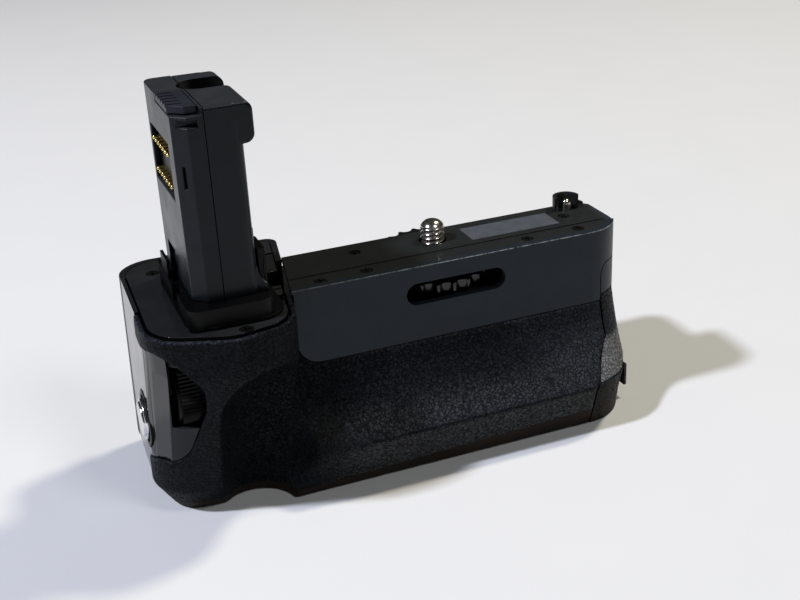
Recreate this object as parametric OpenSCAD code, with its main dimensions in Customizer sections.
// Vertical battery grip that screws under a camera.
// The origin is the clamping screw's axis on the mating plate.
// +X is to the right seen from the front, +Y to the rear, +Z up.

/* [Body] */
// Screw axis to the left end
left_len = 81; // [79:0.5:90]
// Screw axis to the right end of the band
right_len = 50.8; // [50.3:0.5:60]
// Mating plate down to the underside
body_drop = 52; // [52:0.5:60]
// Screw axis to the back of the body
body_rear = 25.4; // [25.4:0.2:32]
// Height of the rear deck below the mating plate
deck_drop = 10.1; // [9.9:0.1:11]
// Wall of the plastic shells
shell_t = 1.6; // [1.2:0.1:2.2]
// Thickness of the moulded rubber skin
rubber_t = 1.4; // [1:0.1:1.8]
// Gap at a seam between two fixed pieces
seam = 0.1; // [0.05:0.05:0.2]
// Gap between moving pieces
run_gap = 0.3; // [0.2:0.05:0.5]

/* [Plate and band] */
// Screw axis to the front face of the band
plate_front = 15.2; // [15:0.1:18]
// Screw axis to the rear edge of the plate
plate_rear = 7.1; // [6:0.1:9]
// Thickness of the mating plate
plate_t = 1.2; // [0.8:0.1:1.3]
// Depth of the step along the front of the plate
plate_step = 0.3; // [0.1:0.05:0.5]
// Height of the smooth front band
band_h = 20.3; // [19:0.1:23]
// Wall of the band
band_t = 2; // [1.5:0.1:2]
// Radius of the band's lower left corner
band_corner = 6; // [3:0.5:9]
// Radius of the front right corner in plan
end_corner = 12; // [8:0.5:14]
// Length of the slope that ends the plate on the right
bevel_len = 4.5; // [3:0.1:6]
// How far that slope falls
bevel_drop = 1.3; // [0.5:0.05:1.4]
// Length of the wheel slot
slot_len = 27.5; // [24:0.5:32]
// Height of the wheel slot
slot_h = 5.9; // [4:0.1:6.5]
// Depth of the slot's middle below the plate
slot_drop = 7.55; // [7:0.05:8]

/* [Grip swell] */
// Depth of the nose ridge below the plate
nose_drop = 38; // [35:0.5:41]
// How far the nose stands out beyond the band
nose_out = 13; // [8:0.5:15]
// How far the right end flares at the nose
end_out = 0; // [0:0.1:2]
// How far the underside's front edge stands beyond the band
foot_out = 8.6; // [5:0.2:11]
// How far the underside pulls in at the right end
foot_in = 2; // [0:0.2:4]

/* [Left lobe] */
// Screw axis to the front of the lobe
lobe_front = 34.3; // [32:0.1:37]
// Screw axis to the back of the lobe
lobe_rear = 22.6; // [21.5:0.1:24]
// Length of the lobe, from the left end to its right rear corner
lobe_len = 43; // [41:0.5:45]
// Height of the lobe's straight collar
collar_h = 10; // [8:0.5:12]
// How far the lobe's front draws back at its foot
lobe_taper = 11; // [8:0.5:12]
// Rounding of the lobe's lower edge
foot_round = 7; // [5:0.5:8]
// Radius of the finger scoop
scoop_r = 14.5; // [12:0.25:15]
// Radius of the scoop at the underside
scoop_foot_r = 9; // [7:0.25:10]
// Depth of the scoop's middle below the plate
scoop_drop = 24.5; // [23.5:0.5:26]
// Thickness of the lobe's top deck
deck_t = 1.6; // [1.2:0.1:1.8]
// Front seam of the end panel behind the screw axis
panel_front = -9.5; // [-12:0.5:-8]
// Rear seam of the end panel behind the screw axis
panel_rear = 12.6; // [11:0.2:13]
// Thickness of the end panel
panel_t = 1; // [0.8:0.05:1]
// Radius of the rubber's round cut-out for the controls
cutout_r = 10.4; // [10:0.1:11]

/* [Clamp] */
// Thread radius of the camera screw, 1/4 inch
screw_r = 3.175; // [3.1:0.005:3.2]
// How far the screw stands above the plate
screw_out = 5.8; // [4.5:0.1:6.5]
// Pitch of the 20 per inch thread
screw_pitch = 1.27; // [1.2:0.01:1.3]
// Radius of the screw's plain shaft
shaft_r = 2.4; // [2:0.05:2.5]
// Outer radius of the thumb wheel
wheel_r = 14; // [13:0.1:14.2]
// Number of teeth on the wheel
wheel_teeth = 20; // [16:1:24]
// Height of each toothed rim
rim_h = 2.5; // [1.8:0.1:2.8]
// Radius of the guide pin
guide_r = 1.3; // [0.8:0.1:1.5]

/* [Tower] */
// Width of the tower
tower_w = 15.4; // [14.5:0.1:16]
// Depth of the tower
tower_d = 33; // [31:0.5:34]
// Height of the tower's top above the plate
tower_top = 50; // [48:0.5:54]
// Wall of the tower shells
tower_t = 1.4; // [1:0.1:1.8]
// Rounding of the tower's upright edges
tower_round = 2.5; // [1.5:0.1:3]
// Chamfer of the tower's front left edge
tower_chamfer = 3.1; // [2:0.1:4]
// Distance from the left end to the tower
tower_inset = 12.8; // [12:0.2:14]
// Front of the tower before the screw axis
tower_front = 23.5; // [23:0.1:24]
// Height of the plug block round the tower's foot
plug_h = 5; // [4:0.1:6]
// How far the hook stands out at the top right
hook_out = 2.5; // [1.5:0.1:2.6]
// Pitch of the contact pins
pin_pitch = 2.65; // [2.5:0.05:2.7]
// Radius of a contact pin
pin_r = 0.5; // [0.4:0.05:0.7]
// Pins in each of the two rows
pin_count = 7; // [5:1:7]

/* [Controls] */
// Radius of the front dial
dial_r = 9; // [8.6:0.1:9.3]
// Width of the front dial
dial_w = 7.4; // [6:0.2:7.6]
// Number of ridges round a dial
dial_ridges = 60; // [40:2:80]
// Radius of the dial axles
axle_r = 1.2; // [1:0.05:1.4]
// Radius of the shutter button
button_r = 5.2; // [4.5:0.1:5.6]
// Travel of the shutter button
button_travel = 1.2; // [0.8:0.1:1.6]
// Radius of the rear dial
rear_dial_r = 8; // [7:0.1:8.4]
// Radius of a rear button
rear_button_r = 2.9; // [2.5:0.1:3.3]

/* [Battery bay] */
// Width of one cell, front to back
cell_w = 31.8; // [31.2:0.1:31.8]
// Mating plate down to the top of the battery case
bay_drop = 11; // [10.9:0.1:12]
// Length of one cell
cell_l = 45; // [44:0.1:45.2]
// Play round a cell in the tray
cell_gap = 0.2; // [0.1:0.05:0.2]
// Wall of the tray
tray_t = 0.9; // [0.7:0.05:0.9]
// Wall of the fixed battery case
case_t = 1; // [0.8:0.05:1]
// Thickness of the bottom cover
bottom_t = 1.2; // [1:0.1:1.2]

/* [Hidden] */
$fn = 48;
hull_fn = 32;
far = 200;
lobe_right = left_len - lobe_len;

// Left lobe: posts of its plan, each [x, y, radius, draw back at the foot]
lobe_posts = [
    [-left_len + 12, -lobe_front + 15.3, 12, lobe_taper - 2.5],
    [-left_len + 20, -lobe_front + 12, 12, lobe_taper],
    [-left_len + 26, -lobe_front + 11, 9.8, lobe_taper + 1],
    [-left_len + 10.4, lobe_rear - 9.6, 9.6, 1],
    [-lobe_right - 2.4, lobe_rear - 3.6, 3, -1]];
foot_in_left = -1.5;
foot_shrink = 0.4;
foot_cut = foot_round * 0.62;

// Main body: key levels of the swell, each [drop, front out, right out, corner added]
swell_keys = [
    [band_h, 0, 0, 0],
    [band_h + 6.5, 1.8, 0.3, 0.5],
    [nose_drop - 5.5, nose_out * 0.42, end_out * 0.5, 1.5],
    [nose_drop, nose_out + 0.6, end_out, 8],
    [nose_drop + 8, nose_out - 1.7, end_out - 0.2, 8],
    [body_drop, foot_out, -foot_in, 2]];
// The same levels with each corner between them cut twice, so that the swell is round
swell = concat(
    [[deck_drop, 0, 0, 0], swell_keys[0]],
    [for (i = [0 : len(swell_keys) - 2], k = [0.25, 0.75])
        (1 - k) * swell_keys[i] + k * swell_keys[i + 1]],
    [swell_keys[len(swell_keys) - 1]]);
body_left = -left_len + 24;
rear_corner = 6;
left_corner = 5;

// Finger scoop
scoop_x = -left_len + 28;
scoop_y = -lobe_front + 1.3;
scoop_foot = [-left_len + 21.5, -lobe_front + 9.8];

// Battery bay, from the floor up and from the back forwards
bay_floor = -body_drop + bottom_t;
tray_shelf = 0.8;
cell_t = (body_drop - bay_drop - bottom_t - case_t - 2 * run_gap - tray_shelf) / 2 - cell_gap;
tray_h = 2 * (cell_t + cell_gap) + tray_shelf;
tray_z = bay_floor + run_gap;
bay_top = tray_z + tray_h + run_gap;
case_rear = body_rear - shell_t - 2 * seam;
bay_rear = case_rear - case_t;
tray_d = cell_w + 2 * cell_gap + 2 * tray_t;
bay_front = bay_rear - tray_d - 2 * run_gap;
cap_x = right_len - 6.5;
cell_x = cap_x - cell_gap - cell_l;
tray_x = cell_x - cell_gap - tray_t;
bay_x = tray_x - run_gap;

// End cap of the tray: where it begins on the front, above and below the nose
cap_front_x = right_len - 8.2;
cap_low_x = right_len - 16.3;
cap_round = 3;
cap_skin = 2.2;
cap_stop = bay_front - case_t - run_gap;

// Tower
tower_l = -left_len + tower_inset;
tower_r = tower_l + tower_w;
tower_b = tower_d - tower_front;
tower_split = tower_l + 0.45 * tower_w;
plug_l = tower_l - 2.5;
plug_r = tower_r + 2.4;
plug_f = -tower_front - 4.2;
plug_b = tower_b + 1;
pin_rows = [29.7, 37.3];
pin_y0 = 4;
block_l = tower_l + tower_t + seam;
block_w = 5.2;
wheel_top = -plate_t - 0.4;
wheel_bottom = -deck_drop + 0.6;
latch_travel = 2;
groove_r = 5;
groove_x = tower_r - 4.6;
hook_round = 2.2;

// Controls
dial_pos = [-left_len + 5.4, -lobe_front + 6.4 + dial_r, -17];
dial_reach = dial_r + 0.6;
sill_z = dial_pos.z - 0.81 * dial_r;
shutter_pos = [-left_len, -8, -29];
shutter_face = -left_len - 0.2;
rear_dial_pos = [-left_len + 10.5, lobe_rear - 6.2, -13];
rear_dial_w = 5;
rear_button_x = rear_dial_pos.x + rear_dial_w + 5.3;
rear_button_drop = [9, 18];
rear_switch_y = lobe_rear - 7;
rear_travel = 0.8;
board_z = -body_drop + 3.6;
board_box = [[-left_len + 11, -6], [-left_len + 37, 16]];
socket_pos = [bay_x - case_t - 8.7, 2];
latch_box = [[-15, -body_drop + 3.5], [-4, -body_drop + 10]];
latch_x = right_len - 0.3;
catch_travel = 4;
guide_h = 3.2;
guide_pos = [right_len - 9.4, plate_rear - guide_r - 2.7, 0];
groove_y = -2;
ribbon_x = block_l + 1.8;
ribbon_y = [-0.5, 5.5];
label_box = [[right_len - 41.5, -5.2], [right_len - 15.8, 3.6]];
label_sunk = 0.2;

module box(a, b) {
    translate(a) cube(b - a);
}

// Box with rounded upright edges
module rbox(a, b, r) {
    box([a.x + r, a.y, a.z], [b.x - r, b.y, b.z]);
    box([a.x, a.y + r, a.z], [b.x, b.y - r, b.z]);
    for (x = [a.x + r, b.x - r], y = [a.y + r, b.y - r])
        translate([x, y, a.z]) cylinder(r = r, h = b.z - a.z);
}

// Rod along X, from x0 to x1
module rod_x(x0, x1, y, z, r) {
    translate([x0, y, z]) rotate([0, 90, 0]) cylinder(r = r, h = x1 - x0);
}

// Rod along Y, from y0 to y1
module rod_y(x, y0, y1, z, r) {
    translate([x, y0, z]) rotate([-90, 0, 0]) cylinder(r = r, h = y1 - y0);
}

// Outline in the side plane, (y, z), drawn out along X
module side_prism(x0, x1) {
    translate([x0, 0, 0]) rotate([90, 0, 90]) linear_extrude(x1 - x0) children();
}

// Left lobe, grown by g, with its underside passed by dip
module lobe(g, dip) {
    hull() {
        for (p = lobe_posts) {
            r = max(p[2] + g, 0.2);
            sole = max(r - foot_shrink - foot_cut, 0.1);
            translate([p.x, p.y, -collar_h]) cylinder(r = r, h = collar_h, $fn = hull_fn);
            translate([p.x + foot_in_left, p.y + p[3], 0]) {
                translate([0, 0, -body_drop + foot_round])
                    cylinder(r = max(r - foot_shrink, 0.1), h = 0.1, $fn = hull_fn);
                translate([0, 0, -body_drop - dip])
                    cylinder(r = sole, h = 0.1 + dip, $fn = hull_fn);
            }
        }
    }
}

// Points of an arc about (x, y) over a quarter turn from angle a
function quarter(x, y, r, a, steps) =
    [for (i = [0 : steps]) [x + r * cos(a + 90 * i / steps), y + r * sin(a + 90 * i / steps)]];

// Outline of the main body at one level of the swell, with rounded corners
function swell_outline(v, g) =
    let (front = plate_front + v[1], right = right_len + v[2], corner = end_corner + v[3])
    concat(
        quarter(right - corner, -front + corner, corner + g, -90, 16),
        quarter(right - rear_corner, body_rear - rear_corner, rear_corner + g, 0, 8),
        quarter(body_left + left_corner, body_rear - left_corner, left_corner + g, 90, 8),
        quarter(body_left + left_corner, -front + left_corner, left_corner + g, 180, 8));

// Main body, grown by g, with its underside passed by dip
module main(g, dip) {
    levels = len(swell);
    n = len(swell_outline(swell[0], g));
    points = [for (v = swell) for (q = swell_outline(v, g))
        [q.x, q.y, -v[0] - (v[0] == body_drop ? dip : 0)]];
    sides = [for (i = [0 : levels - 2], j = [0 : n - 1], k = [0, 1])
        let (a = i * n, b = a + n, m = (j + 1) % n)
        k == 0 ? [a + j, a + m, b + m] : [a + j, b + m, b + j]];
    top = [for (j = [n - 1 : -1 : 0]) j];
    bottom = [for (j = [0 : n - 1]) (levels - 1) * n + j];
    polyhedron(points, concat(sides, [top, bottom]));
}

// Finger scoop below the lobe's collar, grown by k
module scoop(k) {
    hull() {
        translate([scoop_x, scoop_y, -scoop_drop]) sphere(r = scoop_r + k, $fn = hull_fn);
        translate([scoop_foot.x, scoop_foot.y, -body_drop - 2])
            cylinder(r = scoop_foot_r + k, h = 0.1, $fn = hull_fn);
    }
}

// The whole gripped form, grown by g
module grip(g, dip) {
    difference() {
        union() {
            lobe(g, dip);
            main(g, dip);
        }
        scoop(-g);
    }
}

// Room taken by the band and all above it, grown by c
module band_room(c) {
    bottom = -band_h - c;
    left = -lobe_right - 5 - c;
    r = band_corner + c;
    difference() {
        box([left, -far, bottom], [far, body_rear + 1, 1]);
        difference() {
            box([left - 1, -far - 1, bottom - 1], [left + r, far, bottom + r]);
            rod_y(left + r, -far - 2, far + 1, bottom + r, r);
        }
    }
}

// Room behind the seams, taken by the rear cover, grown by c
module rear_room(c) {
    box([-far, panel_rear - c, -far], [far, far, far]);
    box([-lobe_right - 12 - c, plate_rear - 1.5 - c, -far], [far, far, far]);
}

// Room taken by the tray's end cap, grown by c
module cap_room(c) {
    box([cap_x - c, -far, -far], [far, far, -deck_drop + c]);
    translate([0, cap_stop + c, 0]) rotate([90, 0, 0]) linear_extrude(far)
        offset(r = c + cap_round) offset(delta = -cap_round) polygon([[cap_front_x, -deck_drop],
            [cap_front_x, -nose_drop + 8], [cap_low_x, -nose_drop - 1], [cap_low_x, -far], [far, -far],
            [far, -deck_drop]]);
}

// Outline of the panel's front part, seen from front left about the lobe's corner post
module cutout_outline() {
    hull() {
        translate([-1.5, -15]) circle(r = cutout_r);
        translate([-6.2, -25.5]) circle(r = cutout_r - 0.4);
    }
    polygon([[-30, -7], [-11.8, -6.4], [-2, -4.6], [-1.5, -25], [-6.2, -35.5], [-10.7, -36.8], [-30, -43]]);
}

// Room of the end panel: its tall rear part and its front part, grown by c
module panel_room(c) {
    box([-far, panel_front - c, -body_drop + 7 - c], [-left_len + 12, panel_rear + c, 1]);
    difference() {
        translate([lobe_posts[0].x, lobe_posts[0].y, 0]) rotate([90, 0, -58]) translate([0, 0, -1.6])
            linear_extrude(60) offset(delta = c) cutout_outline();
        box([-left_len + 11.2 + c, -far, -far], [far, far, far]);
    }
}

// Window for the front dial, from z0 to z1
module dial_window(z0, z1) {
    d = dial_pos;
    box([d.x - 1.7, -far, z0], [d.x + dial_w + 1.4, d.y + 4, z1]);
}

module shutter_hole(r) {
    rod_x(-far, shutter_face + 8, shutter_pos.y, shutter_pos.z, r);
}

module wheel_room() {
    translate([0, 0, -deck_drop]) cylinder(r = wheel_r + run_gap, h = deck_drop - plate_t);
}

// Upper block's plan with its rounded front right corner, inset by d
module upper_plan(d, z0, z1) {
    f = -plate_front + d;
    r = right_len - d;
    c = end_corner - d;
    box([-lobe_right - 8, f, z0], [r - c, plate_rear, z1]);
    box([-lobe_right - 8, f + c, z0], [r, plate_rear, z1]);
    translate([r - c, f + c, z0]) cylinder(r = c, h = z1 - z0);
}

module plate_screw_places() {
    for (p = [[-lobe_right + 3, -11.55], [-wheel_r - 7.5, 1.3], [-wheel_r - 8.5, -10.6],
        [wheel_r + 8.5, -10.4], [right_len - 12.3, -1], [right_len - 13.1, -10.2]])
        translate([p.x, p.y, 0]) children();
}

module deck_screw_places() {
    for (p = [[-left_len + 9.3, 12.5], [-left_len + 12, -26], [-left_len + 22.4, -30.4]])
        translate([p.x, p.y, 0]) children();
}

module bottom_screw_places() {
    for (p = [[-left_len + 16, 12], [-left_len + 14, -8], [-30, -16], [-20, 20]])
        translate([p.x, p.y, -body_drop]) children();
}

// Mating plate
module top_plate() {
    color([0.16, 0.17, 0.18]) difference() {
        upper_plan(band_t + seam, -plate_t, 0);
        lobe(seam, 0);
        translate([0, 0, -plate_t - 1]) cylinder(r = screw_r + 0.5, h = plate_t + 2);
        box([-far, -far, -plate_step], [far, -plate_front + 7.6, 1]);
        plate_screw_places() translate([0, 0, -plate_step - 0.6]) cylinder(r = 1.7, h = 2);
        plate_screw_places() translate([0, 0, -plate_t - 1]) cylinder(r = 0.8, h = 4);
        translate([guide_pos.x, guide_pos.y, -plate_t - 1]) cylinder(r = guide_r + 0.02, h = plate_t + 2);
        label_room(seam, -label_sunk, 1);
        end_slope();
    }
    color([0.1, 0.1, 0.11]) guide_guard();
}

// Room above the slope at the right end of the plate
module end_slope() {
    a = right_len - bevel_len;
    translate([0, far, 0]) rotate([90, 0, 0]) linear_extrude(2 * far)
        polygon([[a, 0], [a, 1], [right_len + 1, 1], [right_len + 1, -bevel_drop * (1 + 1 / bevel_len)]]);
}

// Room of the label, grown by c
module label_room(c, z0, z1) {
    a = label_box[0];
    b = label_box[1];
    box([a.x - c, a.y - c, z0], [b.x + c, b.y + c, z1]);
}

// Curved guard behind the guide pin, with a tail that falls to the right
module guide_guard() {
    p = guide_pos;
    difference() {
        translate([p.x, p.y, -0.5]) cylinder(r = guide_r + 2.4, h = 4.5);
        translate([p.x, p.y, -1]) cylinder(r = guide_r + 1.4, h = 6);
        box([p.x - 9, p.y - 9, -1], [p.x + 9, p.y - 0.4, 6]);
    }
    translate([0, plate_rear, 0]) rotate([90, 0, 0]) linear_extrude(1) polygon([[p.x + 0.5, -0.9],
        [p.x + 0.5, 3.2], [right_len - band_t - 0.3, 0.1], [right_len - band_t - 0.3, -0.9]]);
}

// Smooth band round the front and the right end
module front_band() {
    color([0.14, 0.155, 0.165]) difference() {
        upper_plan(0, -band_h, 0);
        upper_plan(band_t, -band_h - 1, 1);
        difference() {
            end_slope();
            box([-far, -far, -far], [far, -plate_front + 6.2, far]);
        }
        lobe(seam, 0);
        box([-far, plate_rear - 0.02, -far], [far, far, far]);
        difference() {
            box([-far, -far, -far], [far, far, 9]);
            band_room(0);
            box([-far, -far, -1], [far, far, 9]);
        }
        cap_room(run_gap);
        wheel_room();
        for (x = [-1, 1] * (slot_len - slot_h) / 2)
            rod_y(x, -far, -plate_front + band_t + 1, -slot_drop, slot_h / 2);
        box([-(slot_len - slot_h) / 2, -far, -slot_drop - slot_h / 2],
            [(slot_len - slot_h) / 2, -plate_front + band_t + 1, -slot_drop + slot_h / 2]);
    }
}

// Inner front shell behind the rubber
module front_shell() {
    g = -rubber_t - seam;
    color([0.1, 0.1, 0.11]) difference() {
        grip(g, 1);
        grip(g - shell_t, 2);
        box([-far, -far, -far], [far, far, bay_floor + seam]);
        box([-far, -far, -deck_t - seam], [far, far, 1]);
        band_room(seam);
        rear_room(seam);
        cap_room(run_gap);
        case_block(seam);
        dial_window(dial_pos.z - dial_reach, dial_pos.z + dial_reach);
        shutter_hole(7.4);
        box([body_left, -plate_front + band_t, -far], [far, far, far]);
    }
}

// Rear cover, with the deck behind the plate and the plate's rear wall
module rear_cover() {
    color([0.1, 0.1, 0.11]) difference() {
        union() {
            intersection() {
                difference() {
                    grip(0, 0);
                    grip(-shell_t, 1);
                }
                rear_room(0);
            }
            box([-lobe_right, plate_rear - 1.5, -deck_drop], [cap_x - seam, plate_rear, -plate_t - 0.02]);
            box([-lobe_right - 3, plate_rear - 1.5, -deck_drop - shell_t],
                [cap_x - seam, body_rear - shell_t, -deck_drop]);
        }
        cap_room(run_gap);
        box([-far, -far, -far], [far, far, bay_floor + seam]);
        case_block(seam);
        wheel_room();
        top_deck_room(seam);
        for (drop = rear_button_drop)
            rod_y(rear_button_x, 10, far, -drop, rear_button_r + run_gap);
        rear_dial_window(0.5);
    }
}

module rear_dial_window(c) {
    d = rear_dial_pos;
    box([d.x - c, 15, d.z - rear_dial_r], [d.x + rear_dial_w + c, far, d.z + rear_dial_r]);
}

// Glossy panel on the left end
module left_end_panel() {
    color([0.09, 0.09, 0.1]) difference() {
        intersection() {
            lobe(-rubber_t + panel_t, 0);
            panel_room(0);
        }
        lobe(-rubber_t, 1);
        rear_room(seam);
        dial_window(sill_z, dial_pos.z + dial_r + 4);
        shutter_hole(7.4);
    }
}

// Top deck of the lobe, grown by c, as a room
module top_deck_room(c) {
    intersection() {
        lobe(-rubber_t - 0.5 + c, 0);
        box([-far, -far, -deck_t - c], [far, far, 1]);
    }
}

module top_deck() {
    color([0.1, 0.1, 0.11]) difference() {
        intersection() {
            lobe(-rubber_t - 0.5, 0);
            box([-far, -far, -deck_t], [far, far, 0]);
        }
        box([tower_l + tower_t, -tower_front + tower_t, -deck_t - 1], [tower_r - tower_t, tower_b - 2, 1]);
        box([tower_r + 5.4, -10, -deck_t - 1], [tower_r + 10.3, -1, 1]);
        box([tower_r + 5.4, -21.5, -deck_t - 1], [tower_r + 8.2, -15.3, 1]);
        box([tower_r + 5.4, -12.1, -0.5], [tower_r + 10.4, -11.5, 1]);
        box([tower_r + 10, 10.6, -0.8], [tower_r + 12.2, 11.6, 1]);
        deck_screw_places() translate([0, 0, -0.7]) cylinder(r = 1.7, h = 2);
        deck_screw_places() translate([0, 0, -deck_t - 1]) cylinder(r = 0.8, h = 4);
    }
}

// Flat cover under the body
module bottom_cover() {
    color([0.1, 0.1, 0.11]) difference() {
        union() {
            intersection() {
                grip(-rubber_t - seam, 0);
                box([-far, -far, -body_drop], [far, far, bay_floor]);
            }
            board_posts();
        }
        cap_room(run_gap);
        translate([socket_pos.x, socket_pos.y, -body_drop - 1]) cylinder(r = 5.6, h = 4);
        bottom_screw_places() translate([0, 0, -1]) cylinder(r = 1.75, h = 1.6);
        bottom_screw_places() translate([0, 0, -1]) cylinder(r = 0.8, h = 4);
    }
}

module board_corners() {
    for (x = [board_box[0].x + 2.5, board_box[1].x - 2.5], y = [board_box[0].y + 2.5, board_box[1].y - 2.5])
        translate([x, y, 0]) children();
}

module board_posts() {
    board_corners() translate([0, 0, bay_floor - 0.2]) cylinder(r = 1.8, h = board_z - bay_floor + 0.2);
}

// Moulded rubber over the front
module front_rubber() {
    color([0.11, 0.12, 0.14]) difference() {
        grip(0, 0);
        grip(-rubber_t, 1);
        band_room(seam);
        cap_room(run_gap);
        panel_room(seam + 0.05);
        box([-far, panel_front - seam, -far], [far, far, far]);
        box([body_left, -plate_front + band_t, -far], [far, far, far]);
        box([-far, -far, -0.4], [far, far, 1]);
    }
}

// Rubber thumb rest on the back of the lobe
module thumb_rest() {
    color([0.11, 0.12, 0.14]) intersection() {
        difference() {
            grip(0.9, 0);
            grip(seam, 1);
        }
        box([-left_len + 8, panel_rear + 2, -body_drop + 6], [body_left - 1.2, far, -body_drop + 25]);
    }
}

// End cap that closes the battery bay and carries the tray
module tray_end_cap() {
    color([0.11, 0.11, 0.12]) difference() {
        intersection() {
            main(0, 0);
            cap_room(0);
        }
        intersection() {
            main(-cap_skin, -bottom_t);
            box([-far, -far, -far], [cap_x, far, far]);
        }
        box([-far, cap_stop, -far], [cap_x, far, far]);
        difference() {
            cap_rubber_zone(seam);
            main(-rubber_t - seam, 1);
        }
        latch_slot();
    }
}

module cap_rubber_zone(c) {
    box([-far, -far, -nose_drop - c], [far, -6 + c, -band_h + 1.6 + c]);
}

module cap_rubber() {
    color([0.11, 0.12, 0.14]) difference() {
        intersection() {
            main(0, 0);
            cap_room(0);
            cap_rubber_zone(0);
        }
        main(-rubber_t, 1);
    }
}

// Recess and slot in which the latch slides
module latch_slot() {
    a = latch_box[0];
    b = latch_box[1];
    box([latch_x - run_gap, a.x - 1, a.y - 0.8], [far, b.x + catch_travel + 1, b.y + 0.8]);
    box([cap_x - 1, a.x + 3 - run_gap, a.y + 2.3], [far, b.x - 3 + catch_travel + run_gap, b.y - 2.3]);
}

// Tray that holds two cells, one above the other
module battery_tray() {
    y0 = bay_front + run_gap;
    y1 = bay_rear - run_gap;
    color([0.13, 0.13, 0.14]) {
        for (y = [y0, y1 - tray_t])
            box([tray_x, y, tray_z], [cap_x, y + tray_t, tray_z + tray_h]);
        box([tray_x, y0, tray_z + (tray_h - tray_shelf) / 2],
            [cap_x, y1, tray_z + (tray_h + tray_shelf) / 2]);
        difference() {
            box([tray_x, y0, tray_z], [tray_x + tray_t, y1, tray_z + tray_h]);
            for (s = [0, 1]) contact_window(s, 1);
        }
    }
}

// Opening through which the contacts of cell s reach it, grown by c
module contact_window(s, c) {
    z = cell_middle(s);
    y = (bay_front + bay_rear) / 2;
    box([bay_x - 5, y - 8 - c, z - 3 - c], [tray_x + tray_t + 1, y + 8 + c, z + 3 + c]);
}
function cell_middle(s) = tray_z + (tray_h - tray_shelf) / 4 + s * (tray_h + tray_shelf) / 2;

// Slide latch on the end cap
module tray_latch() {
    a = latch_box[0];
    b = latch_box[1];
    x = right_len + end_out + 0.5;
    color([0.13, 0.13, 0.14]) {
        difference() {
            box([latch_x, a.x, a.y], [x, b.x, b.y]);
            for (i = [0 : 3])
                translate([x + 0.1, a.x + 2.5 + 2 * i, a.y - 1]) cylinder(r = 0.6, h = b.y - a.y + 2);
        }
        box([cap_x + 0.4, a.x + 3, a.y + 2.6], [latch_x + 0.1, b.x - 3, b.y - 2.6]);
    }
}

// Fixed case round the tray, open to the right and below, grown by c
module case_block(c) {
    box([bay_x - case_t - c, bay_front - case_t - c, bay_floor - c],
        [cap_x + c, case_rear + c, bay_top + case_t + c]);
}

module battery_case() {
    color([0.2, 0.2, 0.21]) difference() {
        box([bay_x - case_t, bay_front - case_t, bay_floor + seam],
            [cap_front_x - 2.5, case_rear, bay_top + case_t]);
        box([bay_x, bay_front, bay_floor - 1], [far, bay_rear, bay_top]);
        for (s = [0, 1]) contact_window(s, 0);
    }
}

// Insulating carrier of the bay contacts
module contact_carrier() {
    color([0.25, 0.25, 0.24]) for (s = [0, 1]) {
        y = (bay_front + bay_rear) / 2;
        z = cell_middle(s);
        difference() {
            box([bay_x - case_t - 2.6, y - 9.5, z - 4.5], [bay_x - case_t - seam, y + 9.5, z + 4.5]);
            for (i = [-1 : 1]) box([bay_x - far, y + 5 * i - 1, z - 2.2], [bay_x, y + 5 * i + 1, z + 2.2]);
        }
    }
}

module contact_blades() {
    y = (bay_front + bay_rear) / 2;
    color([0.85, 0.68, 0.3]) for (s = [0, 1], i = [-1 : 1])
        box([bay_x - case_t - 2.4, y + 5 * i - 0.9, cell_middle(s) - 2.1],
            [tray_x + tray_t + 0.8, y + 5 * i + 0.9, cell_middle(s) + 2.1]);
}

// Threaded socket for a tripod in the underside
module tripod_socket() {
    color([0.7, 0.7, 0.72]) translate([socket_pos.x, socket_pos.y, -body_drop]) difference() {
        union() {
            cylinder(r = 5.5, h = 6.5);
            translate([0, 0, bottom_t + seam]) cylinder(r = 8, h = 1.5);
        }
        translate([0, 0, -1]) cylinder(r = 2.55, h = 9);
    }
}

// Pan head screw, head top at z = 0
module pan_screw(head_r, head_h, shank) {
    difference() {
        union() {
            translate([0, 0, -head_h]) cylinder(r = head_r, h = head_h);
            translate([0, 0, -head_h - shank]) cylinder(r = 0.7, h = shank + 0.1);
        }
        for (a = [0, 90]) rotate([0, 0, a]) box([-1, -0.2, -0.4], [1, 0.2, 1]);
    }
}

module bottom_screws() {
    color([0.2, 0.2, 0.2]) bottom_screw_places() mirror([0, 0, 1]) pan_screw(1.6, 0.55, 2.2);
}

module plate_screws() {
    color([0.12, 0.12, 0.12]) {
        plate_screw_places() translate([0, 0, -plate_step]) pan_screw(1.5, 0.55, 2.4);
        deck_screw_places() translate([0, 0, -0.1]) pan_screw(1.5, 0.55, deck_t - 0.65);
    }
}

// Bare label on the mating plate
module label_plate() {
    color([0.42, 0.46, 0.5]) label_room(0, -label_sunk + 0.02, -0.04);
}

// Clamping screw with ringed thread and domed tip
module camera_screw() {
    turns = floor((screw_out - 1.4) / screw_pitch);
    crest = 0.3;
    root = screw_r - 0.62;
    thread = [for (i = [0 : turns - 1], k = [0 : 3])
        [k < 2 ? screw_r : root, i * screw_pitch + [0, crest, 0.62, 0.97][k]]];
    top = turns * screw_pitch;
    color([0.8, 0.78, 0.72]) rotate_extrude() polygon(concat(
        [[0, wheel_bottom], [shaft_r, wheel_bottom], [shaft_r, -0.5], [root, -0.3], [root, -0.01]],
        thread,
        [[screw_r, top], [screw_r, top + crest], [screw_r - 0.5, top + 0.8],
            [screw_r - 1.4, screw_out - 0.1], [0, screw_out]]));
}

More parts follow.
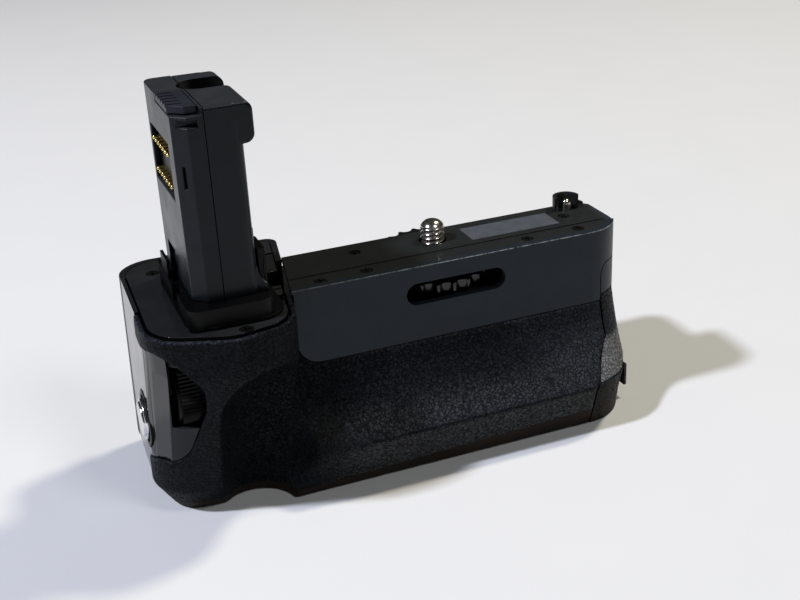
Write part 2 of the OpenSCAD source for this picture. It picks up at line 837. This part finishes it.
// Toothed wheel with an upper and a lower rim on one hub
module thumb_wheel() {
    color([0.12, 0.12, 0.13]) difference() {
        union() {
            translate([0, 0, wheel_bottom]) cylinder(r = wheel_r, h = rim_h);
            translate([0, 0, wheel_top - rim_h]) cylinder(r = wheel_r, h = rim_h);
            translate([0, 0, wheel_bottom]) cylinder(r = wheel_r - 3.2, h = wheel_top - wheel_bottom);
        }
        for (i = [0 : wheel_teeth - 1]) rotate([0, 0, (i + 0.5) * 360 / wheel_teeth])
            translate([wheel_r + 0.6, 0, -deck_drop - 1]) cylinder(r = 1.9, h = deck_drop + 2);
        translate([0, 0, -deck_drop - 1]) cylinder(r = shaft_r + 0.02, h = deck_drop + 2);
    }
}

// Guide pin at the rear right of the plate
module guide_pin() {
    color([0.8, 0.8, 0.8]) translate([guide_pos.x, guide_pos.y, 0]) {
        translate([0, 0, -plate_t]) cylinder(r = guide_r, h = plate_t + guide_h - guide_r);
        translate([0, 0, guide_h - guide_r]) sphere(r = guide_r);
    }
}

// Block round the foot of the tower
module plug_base() {
    color([0.08, 0.08, 0.09]) difference() {
        union() {
            rbox([plug_l, plug_f, 0.02], [plug_r, plug_b, plug_h], 3.5);
            rbox([plug_l - 0.4, plug_f - 0.4, 0.02], [plug_r + 3, plug_b + 0.3, 0.9], 7);
            rbox([tower_r + 1, -19, 0.02], [plug_r + 0.6, -10.5, 14], 0.3);
            box([plug_l + 0.2, -4.5, plug_h - 0.1], [tower_l - 1.6, 3, plug_h + 4.5]);
        }
        box([tower_l + tower_t, -tower_front + tower_t, -1], [tower_r - tower_t, tower_b - 2, 7]);
        box([tower_l - 1.6, -7, 1], [tower_l - 0.1, plug_b + 1, 7]);
        box([plug_l - 1, -14.5, 1], [plug_l + 1.6, -9, 7]);
    }
}

// Room cut off by the chamfer of the tower's front left edge, moved inwards by d
module chamfer_room(d) {
    c = tower_chamfer + d * sqrt(2) + 9;
    translate([tower_l, -tower_front, 0]) linear_extrude(far) polygon([[-9, -9], [c, -9], [-9, c]]);
}

// Outer form of the tower with its hook and flared foot
module tower_form() {
    difference() {
        rbox([tower_l, -tower_front, plug_h + 0.02], [tower_r, tower_b, tower_top], tower_round);
        chamfer_room(0);
    }
    hull() {
        box([tower_r - 6, -tower_front + 0.3, tower_top - 9.5], [tower_r - 5, tower_b - 0.3, tower_top]);
        for (z = [tower_top - 9.5 + hook_round, tower_top - hook_round])
            rod_y(tower_r + hook_out - hook_round, -tower_front + 0.3, tower_b - 0.3, z, hook_round);
    }
    box([tower_r - 1, -18, plug_h + 0.02], [tower_r + 0.9, -12, plug_h + 14]);
    difference() {
        box([tower_r - 3, -tower_front + 1, plug_h + 0.02], [tower_r + 2, -tower_front + 3.6, plug_h + 6]);
        rod_y(tower_r + 6, -far, far, plug_h + 6, 6);
    }
}

// Inside of the tower, its windows, slots and the groove in its top
module tower_hollow() {
    t = tower_t;
    difference() {
        rbox([tower_l + t, -tower_front + t, 0], [tower_r - t, tower_b - t, tower_top - 10], tower_round - t);
        chamfer_room(t);
    }
    box([tower_l - 1, groove_y - 13, 27.2], [tower_l + t + 1, pin_y0 + 1.8, 40.6]);
    translate([groove_x, groove_y, tower_top - 7]) cylinder(r = groove_r, h = 9);
    box([groove_x, groove_y - groove_r, tower_top - 7], [tower_r + 9, groove_y + groove_r, tower_top + 2]);
    latch_pocket();
    box([tower_l - 1, -tower_front - 1, tower_top - 4.2], [tower_l + 5.4, -tower_front + 2, tower_top - 2.6]);
    translate([tower_l + tower_chamfer / 2, -tower_front + tower_chamfer / 2, 34.5]) rotate([0, 0, -45])
        box([-0.4, -0.8, -2.5], [0.4, 0.8, 2.5]);
    box([tower_l - 1, -5.5, 0], [tower_l + 1, 3, plug_h + 7]);
}

// Pocket of the slider, open to the front and to the left
module latch_pocket() {
    box([tower_l - 1, -tower_front - 1, tower_top - 1.8], [tower_l + 6.2, groove_y - 3, tower_top + 1]);
}

module tower_left_shell() {
    color([0.09, 0.09, 0.1]) difference() {
        tower_form();
        tower_hollow();
        box([tower_split - seam / 2, -far, -1], [far, far, far]);
    }
}

module tower_right_shell() {
    color([0.1, 0.1, 0.11]) difference() {
        tower_form();
        tower_hollow();
        box([-far, -far, -1], [tower_split + seam / 2, far, far]);
    }
}

// Carrier of the spring pins behind the tower's window
module contact_block() {
    color([0.07, 0.07, 0.07]) difference() {
        box([block_l, groove_y - 14.5, 26.5], [block_l + block_w, pin_y0 + 3.2, 39.9]);
        for (z = pin_rows, i = [0 : pin_count - 1])
            rod_x(block_l - 1, block_l + 4, pin_y0 - i * pin_pitch, z, pin_r + 0.06);
    }
}

module contact_pins() {
    color([0.85, 0.65, 0.25]) for (z = pin_rows, i = [0 : pin_count - 1])
        translate([tower_l + 0.3, pin_y0 - i * pin_pitch, z]) {
            rotate([0, 90, 0]) cylinder(r = pin_r, h = block_l - tower_l + 1.6);
            sphere(r = pin_r);
        }
}

// Ridged slider on top of the tower, which slides to the front
module cover_latch() {
    x0 = tower_l;
    y0 = -tower_front + latch_travel;
    y1 = groove_y - 3 - run_gap;
    color([0.2, 0.22, 0.25]) difference() {
        box([x0, y0, tower_top - 1.8 + run_gap], [x0 + 5.9, y1, tower_top + 0.2]);
        translate([0, latch_travel, 0]) chamfer_room(0);
        for (i = [0 : 4])
            translate([x0 - 1, y1 - 2.4 - 2.6 * i, tower_top - 0.4]) cube([4.6, 0.8, 0.9]);
    }
}

// Flat cable from the contact block down to the board
module ribbon_cable() {
    color([0.55, 0.4, 0.2]) box([ribbon_x, ribbon_y[0], board_z + 3.7], [ribbon_x + 0.4, ribbon_y[1], 26.45]);
}

module main_board() {
    a = board_box[0];
    b = board_box[1];
    color([0.05, 0.3, 0.15]) difference() {
        box([a.x, a.y, board_z + 0.02], [b.x, b.y, board_z + 1.4]);
        board_corners() translate([0, 0, board_z - 1]) cylinder(r = 1.1, h = 4);
    }
    color([0.85, 0.82, 0.75]) box([ribbon_x - 1.2, ribbon_y[0] - 1, board_z + 1.4],
        [ribbon_x + 1.6, ribbon_y[1] + 1, board_z + 3.65]);
    color([0.06, 0.06, 0.06]) box([a.x + 11, 3, board_z + 1.4], [a.x + 18, 10, board_z + 2.4]);
}

module board_screws() {
    color([0.7, 0.7, 0.7]) board_corners() translate([0, 0, board_z + 2.2]) pan_screw(1.8, 0.78, 1.36);
}

// Trim ring and guide of the shutter button
module shutter_ring() {
    y = shutter_pos.y;
    z = shutter_pos.z;
    color([0.08, 0.08, 0.08]) difference() {
        intersection() {
            union() {
                rod_x(shutter_face - 1, shutter_face + 0.5, y, z, 7.1);
                rod_x(shutter_face + 0.4, shutter_face + 4.4, y, z, 7);
            }
            lobe(panel_t - rubber_t + 0.2, 0);
        }
        rod_x(shutter_face - 2, shutter_face + 0.9, y, z, button_r + 0.9);
        rod_x(shutter_face - 1, shutter_face + 9, y, z, button_r + run_gap);
    }
}

module shutter_button() {
    y = shutter_pos.y;
    z = shutter_pos.z;
    color([0.75, 0.75, 0.76]) {
        rod_x(shutter_face - 0.9, shutter_face + 2.2, y, z, button_r);
        rod_x(shutter_face - 1.4, shutter_face - 0.8, y, z, button_r - 0.7);
        rod_x(shutter_face + 2.1, shutter_face + 4.4 - button_travel, y, z, 1.5);
    }
}

module shutter_switch() {
    y = shutter_pos.y;
    z = shutter_pos.z;
    x = shutter_face + 4.4 + seam;
    color([0.3, 0.3, 0.3]) {
        box([x + 0.6, y - 3, z - 3], [x + 3, y + 3, z + 3]);
        difference() {
            rod_x(x, x + 0.7, y, z, 7);
            rod_x(x - 1, x + 0.65, y, z, 2);
        }
    }
}

// Ridged roller along X, its ridges standing up to r
module ridged_roller(w, r, ridges) {
    rotate([0, 90, 0]) linear_extrude(w) polygon([for (i = [0 : 2 * ridges - 1])
        (r - (i % 2) * 0.35) * [cos(180 * i / ridges), sin(180 * i / ridges)]]);
}

module front_dial() {
    color([0.09, 0.09, 0.1]) translate(dial_pos) difference() {
        union() {
            translate([0.8, 0, 0]) ridged_roller(dial_w - 1.6, dial_r, dial_ridges);
            rod_x(0, dial_w, 0, 0, dial_r - 0.9);
        }
        rod_x(-1, dial_w + 1, 0, 0, axle_r + 0.05);
    }
}

module front_dial_axle() {
    d = dial_pos;
    color([0.7, 0.7, 0.7]) rod_x(d.x - 1.4, d.x + dial_w + 1.6, d.y, d.z, axle_r);
}

// Cheek that hangs from the deck and holds one end of an axle
module axle_cheek(x0, x1, y, z, half) {
    difference() {
        union() {
            box([x0, y - half, z], [x1, y + half, -deck_t - 0.02]);
            rod_x(x0, x1, y, z, half);
        }
        rod_x(x0 - 1, x1 + 1, y, z, axle_r + 0.02);
    }
}

module front_dial_bracket() {
    d = dial_pos;
    color([0.3, 0.3, 0.31]) {
        axle_cheek(d.x - 1.4, d.x - run_gap, d.y, d.z, 1.8);
        axle_cheek(d.x + dial_w + run_gap, d.x + dial_w + 1.6, d.y, d.z, 2.6);
        box([d.x - 1.4, d.y - 1.8, -deck_t - 1.2], [d.x + dial_w + 1.6, d.y + 6, -deck_t - 0.02]);
    }
}

module rear_dial() {
    color([0.09, 0.09, 0.1]) translate(rear_dial_pos) difference() {
        ridged_roller(rear_dial_w, rear_dial_r, dial_ridges);
        rod_x(-1, rear_dial_w + 1, 0, 0, axle_r + 0.05);
    }
}

module rear_dial_axle() {
    d = rear_dial_pos;
    color([0.7, 0.7, 0.7]) rod_x(d.x - 1.6, d.x + rear_dial_w + 1.6, d.y, d.z, axle_r);
}

module rear_dial_bracket() {
    d = rear_dial_pos;
    color([0.3, 0.3, 0.31]) {
        axle_cheek(d.x - 1.6, d.x - run_gap, d.y, d.z, 2.4);
        axle_cheek(d.x + rear_dial_w + run_gap, d.x + rear_dial_w + 1.6, d.y, d.z, 2.4);
        box([d.x - 1.6, d.y - 2.4, -deck_t - 1.2], [d.x + rear_dial_w + 1.6, d.y + 2.4, -deck_t - 0.02]);
    }
}

// Round button on the back, with a flange inside the cover
module rear_button(drop) {
    rod_y(rear_button_x, lobe_rear - 4, lobe_rear + 0.7, -drop, rear_button_r);
    rod_y(rear_button_x, rear_switch_y + 1 + rear_travel + run_gap, lobe_rear - 3.9, -drop, 1.4);
}

module rear_button_upper() {
    color([0.12, 0.12, 0.12]) rear_button(rear_button_drop[0]);
}

module rear_button_lower() {
    color([0.12, 0.12, 0.12]) rear_button(rear_button_drop[1]);
}

module rear_switch_board() {
    color([0.05, 0.3, 0.15])
        box([rear_button_x - 3.2, rear_switch_y, -rear_button_drop[1] - 4],
            [rear_button_x + 3.2, rear_switch_y + 1, -deck_t - 0.02]);
}

top_plate();
front_band();
front_shell();
rear_cover();
left_end_panel();
top_deck();
bottom_cover();
front_rubber();
thumb_rest();
tray_end_cap();
cap_rubber();
battery_tray();
tray_latch();
battery_case();
contact_carrier();
contact_blades();
tripod_socket();
bottom_screws();
plate_screws();
label_plate();
camera_screw();
thumb_wheel();
guide_pin();
plug_base();
tower_left_shell();
tower_right_shell();
contact_block();
contact_pins();
cover_latch();
ribbon_cable();
main_board();
board_screws();
shutter_ring();
shutter_button();
shutter_switch();
front_dial();
front_dial_axle();
front_dial_bracket();
rear_dial();
rear_dial_axle();
rear_dial_bracket();
rear_button_upper();
rear_button_lower();
rear_switch_board();
